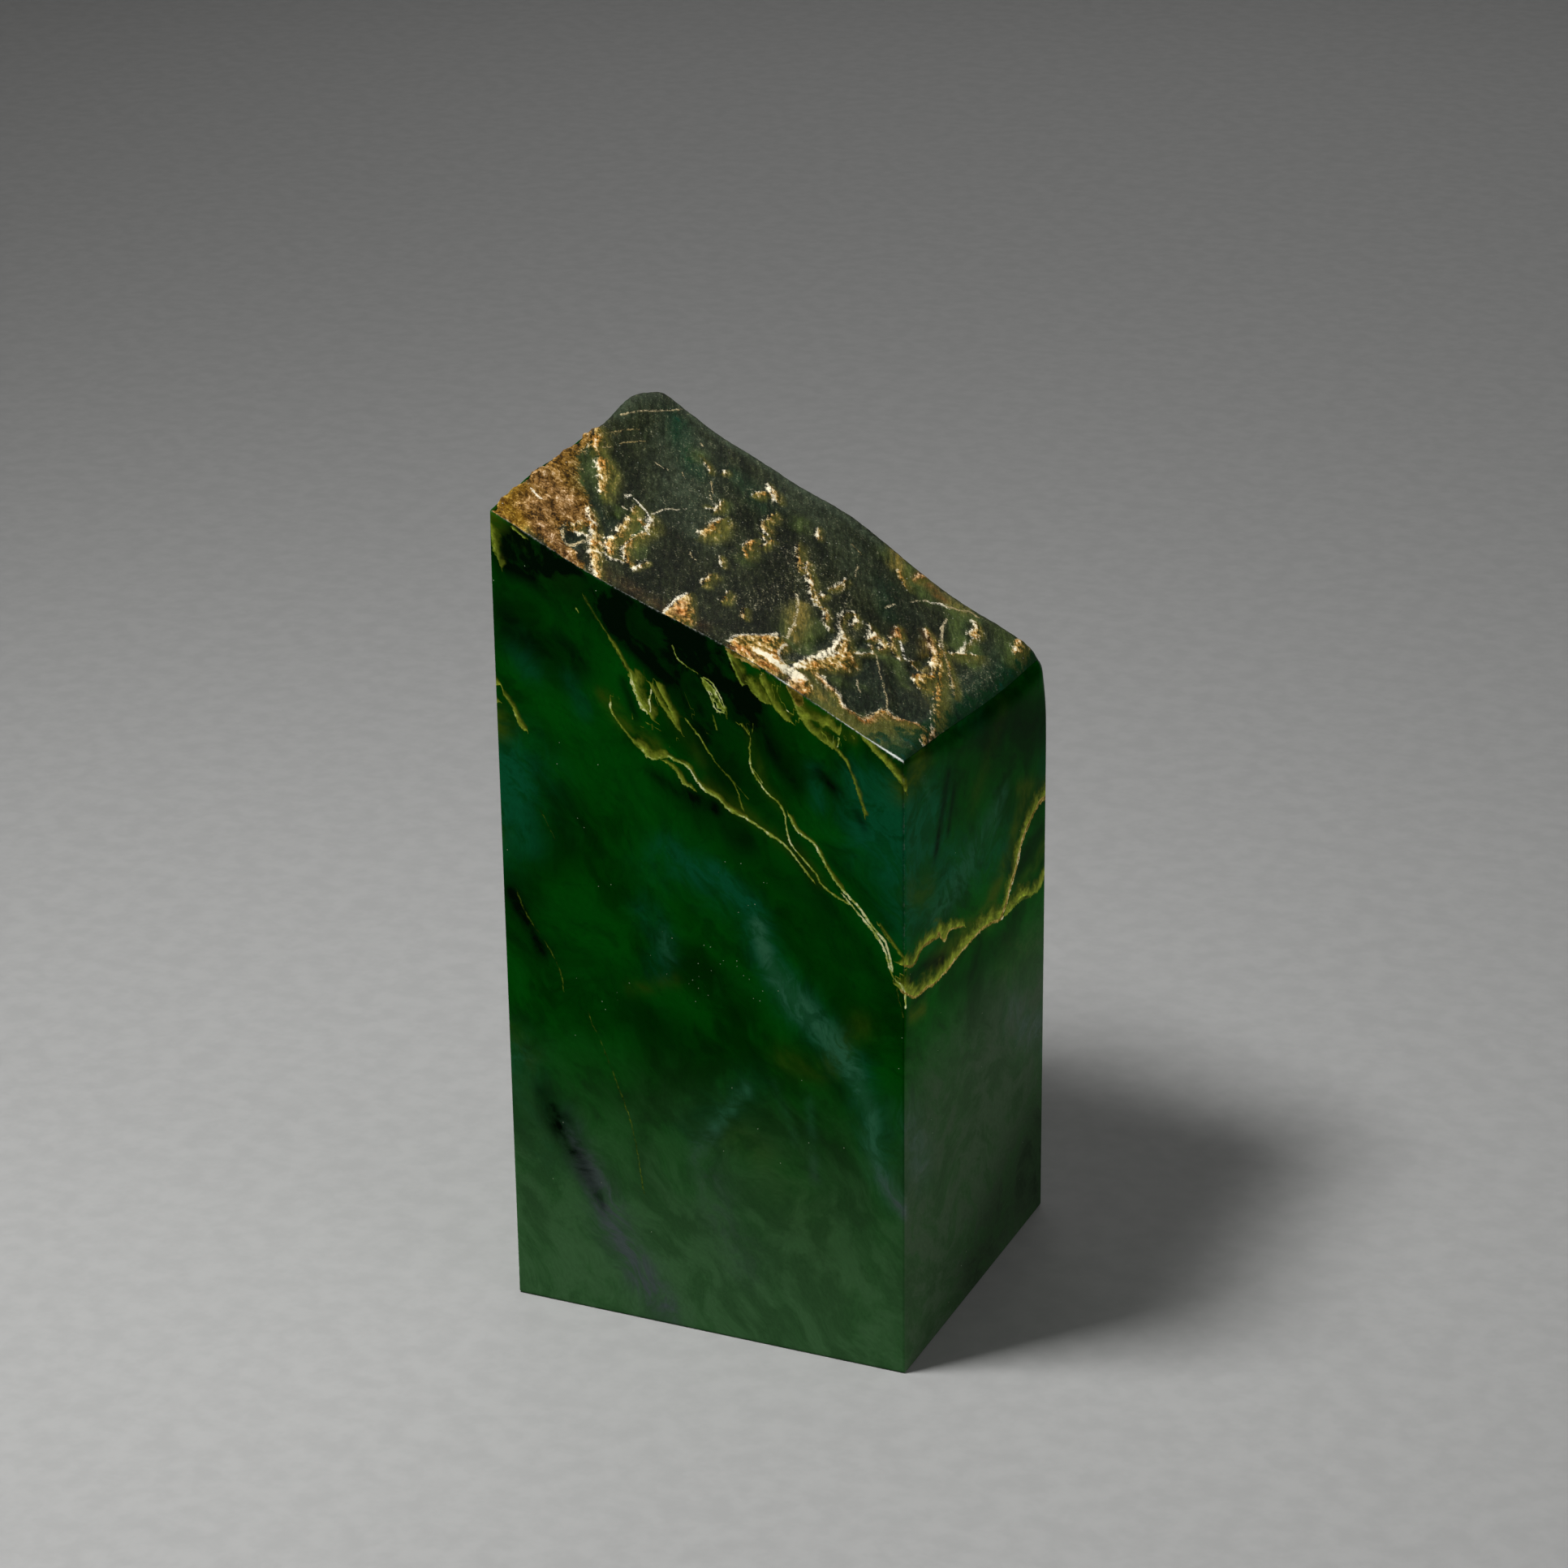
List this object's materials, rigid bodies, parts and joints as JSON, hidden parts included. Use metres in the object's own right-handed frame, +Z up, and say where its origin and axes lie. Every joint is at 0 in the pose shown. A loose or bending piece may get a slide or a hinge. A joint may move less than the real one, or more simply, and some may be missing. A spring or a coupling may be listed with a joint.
{
  "type": "jade block",
  "caption": "Tall block of green nephrite jade with polished sawn sides and a slanting natural top of brown and cream rind.",
  "frame": {"origin": "middle of the block's base, on the surface it stands on", "axes": "+Z up along the block's height, -Y out of the wide front face, +X out of the right face, towards which the top falls"},
  "size_m": [0.148, 0.132, 0.3001],
  "materials": {
    "jade": "polished nephrite: deep green with teal clouds and yellow-green veins, and a dull top with brown and cream rind"
  },
  "bodies": {
    "root": {"jade_block": "jade"}
  },
  "joints": []
}
